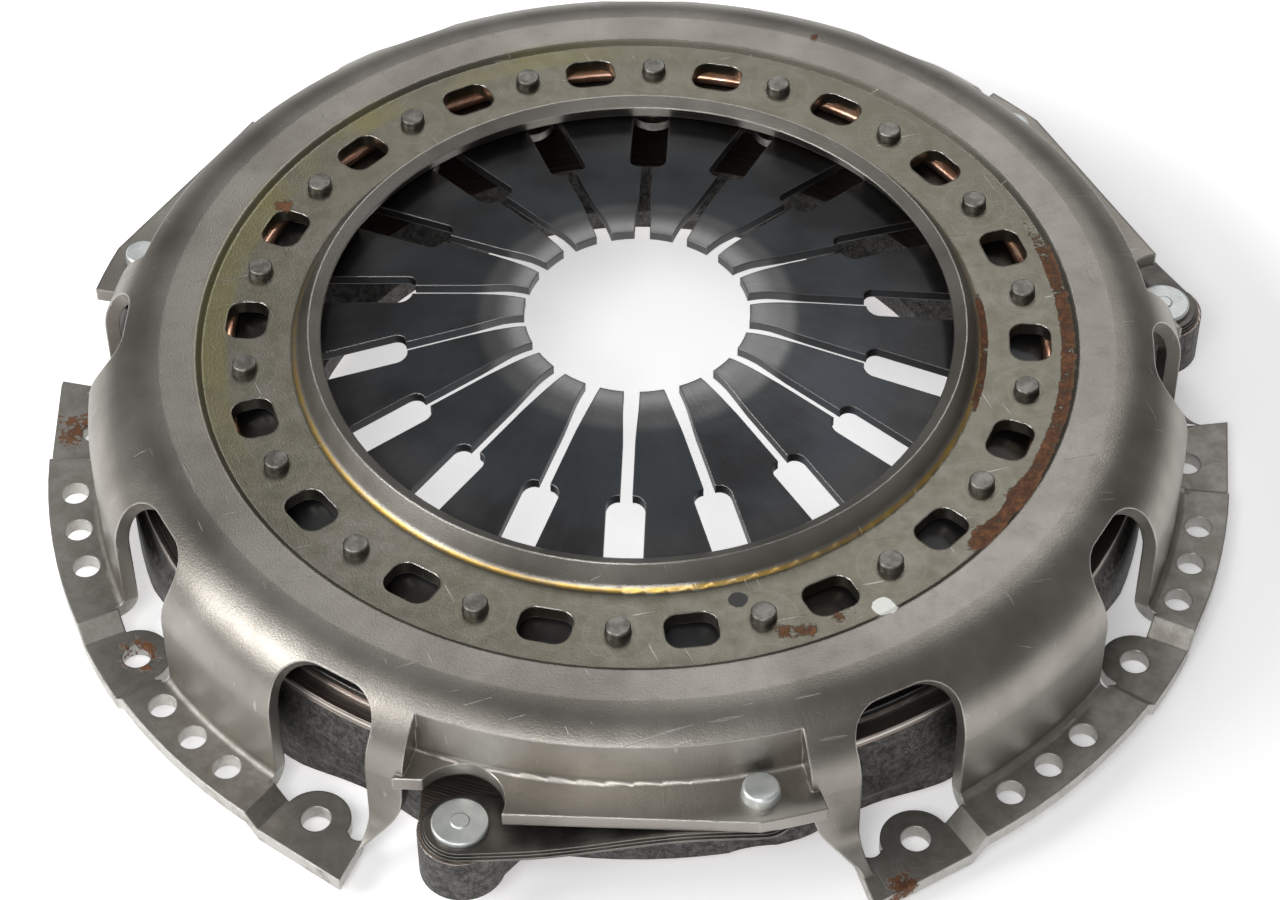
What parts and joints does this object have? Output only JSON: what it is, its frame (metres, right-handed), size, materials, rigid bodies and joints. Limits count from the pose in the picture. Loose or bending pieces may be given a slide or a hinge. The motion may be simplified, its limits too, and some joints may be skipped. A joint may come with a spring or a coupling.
{
  "type": "clutch pressure plate",
  "caption": "Diaphragm spring clutch pressure plate: pressed steel cover on radial spring fingers, cast iron pressure plate and sprung drive straps, bolted to a flywheel.",
  "frame": {"origin": "on the clutch axis in the flywheel mounting plane, which is the underside of the low fixing lugs", "axes": "+Z along the clutch axis towards the release bearing; -Y through the middle of one strap pocket; +X to the right of it seen from outside"},
  "size_m": [0.4057, 0.3956, 0.073],
  "materials": {
    "pressed_steel": "satin",
    "coppered_wire": "satin",
    "spring_steel": "satin",
    "rivet_steel": "satin",
    "grey_iron": "rough",
    "strap_steel": "satin",
    "zinc_rivet": "satin"
  },
  "bodies": {
    "cover_assembly": {"cover": "pressed_steel", "upper_fulcrum_ring": "coppered_wire", "diaphragm_spring": "spring_steel", "lower_fulcrum_ring": "coppered_wire", "fulcrum_rivets": "rivet_steel", "front_strap_lower_leaf": "strap_steel", "front_strap_middle_leaf": "strap_steel", "front_strap_upper_leaf": "strap_steel", "right_strap_lower_leaf": "strap_steel", "right_strap_middle_leaf": "strap_steel", "right_strap_upper_leaf": "strap_steel", "left_strap_lower_leaf": "strap_steel", "left_strap_middle_leaf": "strap_steel", "left_strap_upper_leaf": "strap_steel", "front_cover_rivet": "zinc_rivet", "right_cover_rivet": "zinc_rivet", "left_cover_rivet": "zinc_rivet"},
    "plate_assembly": {"pressure_plate": "grey_iron", "front_plate_rivet": "zinc_rivet", "right_plate_rivet": "zinc_rivet", "left_plate_rivet": "zinc_rivet"}
  },
  "joints": [
    {"name": "plate_lift", "type": "slide", "parent": "cover_assembly", "child": "plate_assembly", "axis": [0, 0, 1], "range_m": [0, 0.0055], "stiffness_N_per_m": 300000, "springref_m": -0.001, "deforming": ["diaphragm_spring", "front_strap_lower_leaf", "front_strap_middle_leaf", "front_strap_upper_leaf", "right_strap_lower_leaf", "right_strap_middle_leaf", "right_strap_upper_leaf", "left_strap_lower_leaf", "left_strap_middle_leaf", "left_strap_upper_leaf"]}
  ]
}
